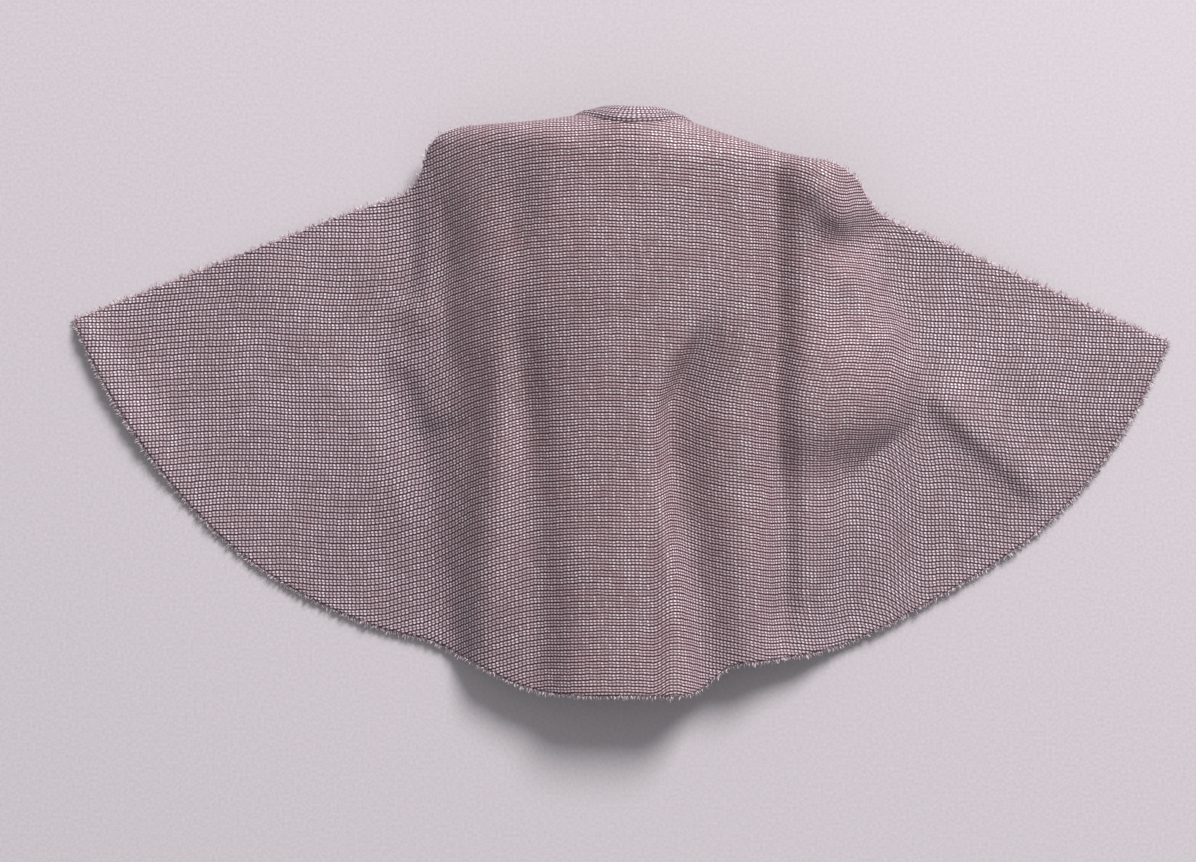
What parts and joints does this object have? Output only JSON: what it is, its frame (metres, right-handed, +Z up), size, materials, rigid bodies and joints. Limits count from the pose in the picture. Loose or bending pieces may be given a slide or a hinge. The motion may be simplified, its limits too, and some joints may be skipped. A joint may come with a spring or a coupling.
{
  "type": "superhero cape",
  "caption": "Doll-size knit cape with raw hem and front edges, humped over the back and spread flat at both sides, with a neck band that closes under the throat.",
  "frame": {"origin": "middle of the ground that the cape covers as it lies, at the surface it lies on", "axes": "+Z up through the cape's outer face, +Y towards the wearer's head, +X towards the wearer's right hand"},
  "size_m": [0.1438, 0.0776, 0.0175],
  "materials": {
    "cloth": "shiny filament knit, faded mauve grey",
    "band": "the same knit, folded double",
    "thread": "fine sewing thread",
    "snap": "nickel-plated, worn soft"
  },
  "bodies": {
    "back": {"back_panel": "cloth", "neck_band": "band", "band_thread": "thread", "snap_ball": "snap", "ball_thread": "thread"},
    "left_side": {"left_wing": "cloth"},
    "right_side": {"right_wing": "cloth"},
    "closing_flap": {"closing_tab": "band", "snap_socket": "snap", "snap_spring": "snap", "socket_thread": "thread"}
  },
  "joints": [
    {"name": "left_fold", "type": "hinge", "parent": "back", "child": "left_side", "pos_m": [-0.0294, 0.02747, 0.0003], "axis": [0.1058, -0.9944, 0], "range_deg": [-90, 90]},
    {"name": "right_fold", "type": "hinge", "parent": "back", "child": "right_side", "pos_m": [0.033, 0.02417, 0.0003], "axis": [0.1636, 0.9865, 0], "range_deg": [-90, 90]},
    {"name": "closing_tab_bend", "type": "hinge", "parent": "back", "child": "closing_flap", "pos_m": [0.0088, 0.03205, 0.00371], "axis": [0, -1, 0], "range_deg": [0, 70]}
  ]
}
